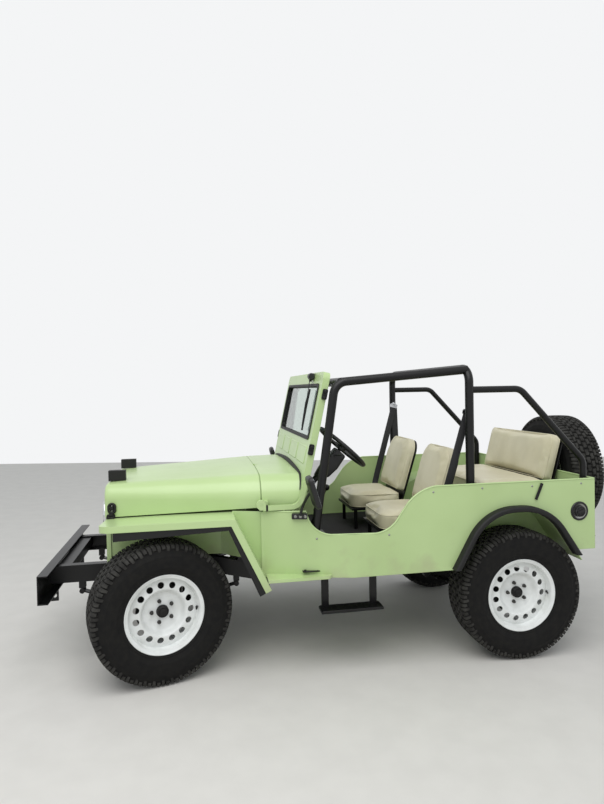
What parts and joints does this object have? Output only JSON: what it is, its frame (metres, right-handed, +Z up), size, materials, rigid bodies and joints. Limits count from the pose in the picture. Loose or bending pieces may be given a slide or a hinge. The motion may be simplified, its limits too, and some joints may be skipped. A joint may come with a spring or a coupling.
{
  "type": "open off-road utility vehicle",
  "caption": "Short open utility vehicle with flat fenders, hinged hood, fold-flat windshield, tubular roll cage, padded seats and bench, side steps and a rear-mounted spare wheel.",
  "frame": {"origin": "on the ground under the middle of the overall box", "axes": "+X forward along the vehicle, +Y to its left, +Z up; the body rides nose-down by 1.6 degrees on level wheels"},
  "size_m": [3.383, 1.7202, 1.6853],
  "materials": {
    "body_green": "gloss",
    "black_paint": "satin",
    "wheel_white": "gloss",
    "tyre_black": "matte",
    "cream_vinyl": "satin",
    "rubber_black": "matte",
    "screen_glass": "polished",
    "lamp_glass": "polished",
    "lamp_red": "polished",
    "black_plastic": "satin",
    "cast_grey": "matte",
    "bare_steel": "satin",
    "alloy": "satin"
  },
  "bodies": {
    "vehicle": {"arch_flares": "rubber_black", "bench_cushions": "cream_vinyl", "body_floor": "body_green", "body_sides": "body_green", "chassis_frame": "black_paint", "cowl": "body_green", "driveline": "cast_grey", "engine": "cast_grey", "exhaust": "bare_steel", "floor_controls": "black_paint", "front_axle": "cast_grey", "front_bumper": "black_paint", "fuel_filler": "black_plastic", "fuel_tank": "black_paint", "grille": "body_green", "headlamps": "lamp_glass", "leaf_springs": "black_paint", "left_fender": "body_green", "mirrors": "black_plastic", "radiator": "alloy", "rear_axle": "cast_grey", "rear_panel": "body_green", "right_fender": "body_green", "roll_cage": "black_paint", "seat_cushions": "cream_vinyl", "seat_frames": "black_paint", "side_sills": "body_green", "side_steps": "black_paint", "spare_carrier": "black_paint", "spare_tyre": "tyre_black", "spare_wheel": "wheel_white", "steering_column": "black_paint", "tail_lamps": "lamp_red", "wheel_boxes": "body_green"},
    "hood": {"hood": "body_green", "hood_blocks": "rubber_black"},
    "windshield": {"windshield_frame": "body_green", "windshield_glass": "screen_glass"},
    "knuckle_left": {"left_knuckle": "cast_grey"},
    "knuckle_right": {"right_knuckle": "cast_grey"},
    "track_rod": {"tie_rod": "bare_steel"},
    "hand_wheel": {"steering_wheel": "black_plastic"},
    "wheel_front_left": {"front_left_wheel": "wheel_white", "front_left_tyre": "tyre_black"},
    "wheel_front_right": {"front_right_wheel": "wheel_white", "front_right_tyre": "tyre_black"},
    "wheel_rear_left": {"rear_left_wheel": "wheel_white", "rear_left_tyre": "tyre_black"},
    "wheel_rear_right": {"rear_right_wheel": "wheel_white", "rear_right_tyre": "tyre_black"}
  },
  "joints": [
    {"name": "hood_hinge", "type": "hinge", "parent": "vehicle", "child": "hood", "pos_m": [0.5378, 0, 1.06749], "axis": [0, -1, 0], "range_deg": [0, 100]},
    {"name": "windshield_fold", "type": "hinge", "parent": "vehicle", "child": "windshield", "pos_m": [0.54182, 0, 0.90732], "axis": [0, -1, 0], "range_deg": [-104.5, 0]},
    {"name": "steering_left", "type": "hinge", "parent": "vehicle", "child": "knuckle_left", "pos_m": [1.0827, 0.566, 0.368], "axis": [0, 0, 1], "range_deg": [-41, 7]},
    {"name": "steering_right", "type": "hinge", "parent": "vehicle", "child": "knuckle_right", "pos_m": [1.0827, -0.566, 0.368], "axis": [0, 0, 1], "range_deg": [-41, 7]},
    {"name": "track_rod_slide", "type": "slide", "parent": "vehicle", "child": "track_rod", "axis": [0, 1, 0], "range_m": [-0.03, 0.09]},
    {"name": "hand_wheel_turn", "type": "hinge", "parent": "vehicle", "child": "hand_wheel", "pos_m": [0.02149, 0.33, 1.18895], "axis": [-0.6511, 0, 0.759], "range_deg": [-492, 84]},
    {"name": "front_left_spin", "type": "hinge", "parent": "knuckle_left", "child": "wheel_front_left", "pos_m": [1.06662, 0.6186, 0.368], "axis": [-0.2924, 0.9563, 0], "continuous": true},
    {"name": "front_right_spin", "type": "hinge", "parent": "knuckle_right", "child": "wheel_front_right", "pos_m": [1.09878, -0.6186, 0.368], "axis": [-0.2924, 0.9563, 0], "continuous": true},
    {"name": "rear_left_spin", "type": "hinge", "parent": "vehicle", "child": "wheel_rear_left", "pos_m": [-0.9493, 0.621, 0.368], "axis": [0, 1, 0], "continuous": true},
    {"name": "rear_right_spin", "type": "hinge", "parent": "vehicle", "child": "wheel_rear_right", "pos_m": [-0.9493, -0.621, 0.368], "axis": [0, 1, 0], "continuous": true}
  ],
  "couplings": [
    {"joint": "steering_right", "follows": "steering_left", "ratio": 1},
    {"joint": "track_rod_slide", "follows": "steering_left", "m_per_rad": -0.10196},
    {"joint": "hand_wheel_turn", "follows": "steering_left", "ratio": 12}
  ]
}
